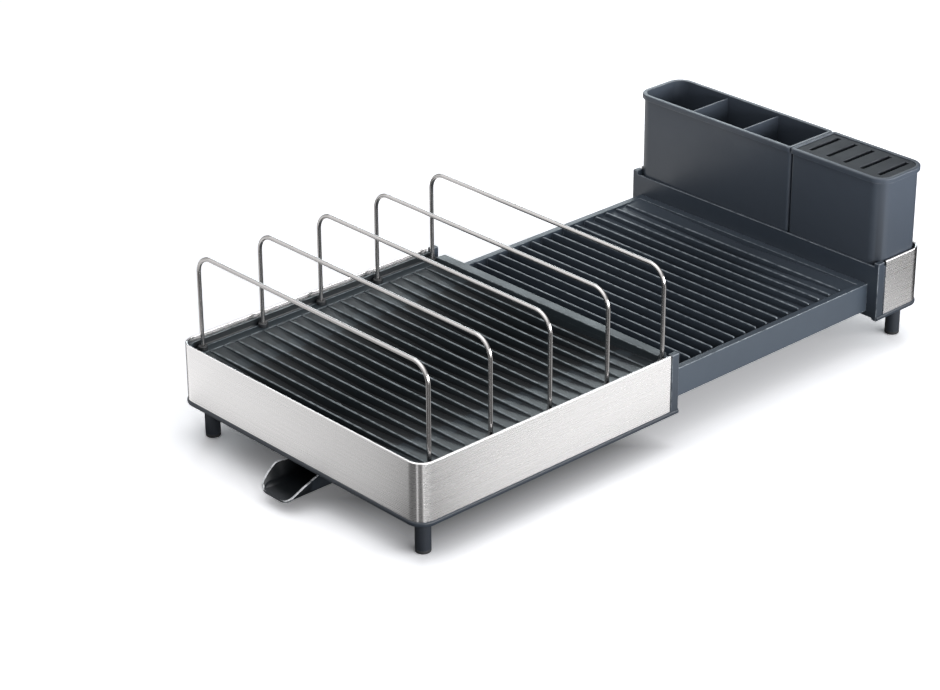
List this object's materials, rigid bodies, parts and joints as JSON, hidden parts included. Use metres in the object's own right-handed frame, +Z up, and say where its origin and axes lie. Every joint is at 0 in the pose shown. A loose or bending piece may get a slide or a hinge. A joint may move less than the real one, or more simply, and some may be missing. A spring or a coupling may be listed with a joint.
{
  "type": "dish drying rack",
  "caption": "Extending dish drying rack with steel bands, wire plate dividers, ribbed trays, a swivel drain spout and lift-out cutlery caddy and knife block.",
  "frame": {"origin": "middle of the rack's bounding box as pulled out, on the table", "axes": "+X from the spout towards the pull-out end, +Y from front to back, +Z up"},
  "size_m": [0.668, 0.322, 0.1765],
  "materials": {
    "slate_plastic": "fine moulded texture, dark slate",
    "caddy_plastic": "fine moulded texture, charcoal",
    "cup_plastic": "smooth, near black",
    "brushed_band": "fine brushed grain along the band",
    "wire_steel": "satin rod",
    "pad_rubber": "matt"
  },
  "bodies": {
    "main": {"base_basin": "slate_plastic", "steel_band": "brushed_band", "drainer_tray": "slate_plastic", "plate_wire_1": "wire_steel", "plate_wire_2": "wire_steel", "plate_wire_3": "wire_steel", "plate_wire_4": "wire_steel", "plate_wire_5": "wire_steel", "wire_cup_1_front": "cup_plastic", "wire_cup_1_back": "cup_plastic", "wire_cup_2_front": "cup_plastic", "wire_cup_2_back": "cup_plastic", "wire_cup_3_front": "cup_plastic", "wire_cup_3_back": "cup_plastic", "wire_cup_4_front": "cup_plastic", "wire_cup_4_back": "cup_plastic", "wire_cup_5_front": "cup_plastic", "wire_cup_5_back": "cup_plastic", "main_foot_front": "slate_plastic", "main_foot_back": "slate_plastic", "main_foot_pad_front": "pad_rubber", "main_foot_pad_back": "pad_rubber"},
    "extension": {"extension_tray": "slate_plastic", "end_bracket": "slate_plastic", "end_band": "brushed_band", "end_foot_front": "slate_plastic", "end_foot_back": "slate_plastic", "end_foot_pad_front": "pad_rubber", "end_foot_pad_back": "pad_rubber"},
    "cutlery": {"cutlery_caddy": "caddy_plastic"},
    "knives": {"knife_block": "caddy_plastic", "knife_block_top": "caddy_plastic"},
    "drain_spout": {"spout": "slate_plastic", "spout_ring": "slate_plastic"}
  },
  "joints": [
    {"name": "extension_slide", "type": "slide", "parent": "main", "child": "extension", "axis": [1, 0, 0], "range_m": [-0.2685, 0]},
    {"name": "cutlery_lift", "type": "slide", "parent": "extension", "child": "cutlery", "axis": [0, 0, 1], "range_m": [0, 0.145]},
    {"name": "knife_lift", "type": "slide", "parent": "extension", "child": "knives", "axis": [0, 0, 1], "range_m": [0, 0.145]},
    {"name": "spout_swivel", "type": "hinge", "parent": "main", "child": "drain_spout", "pos_m": [-0.266, 0, 0.0385], "axis": [0, 0, 1], "range_deg": [-90, 90]}
  ]
}
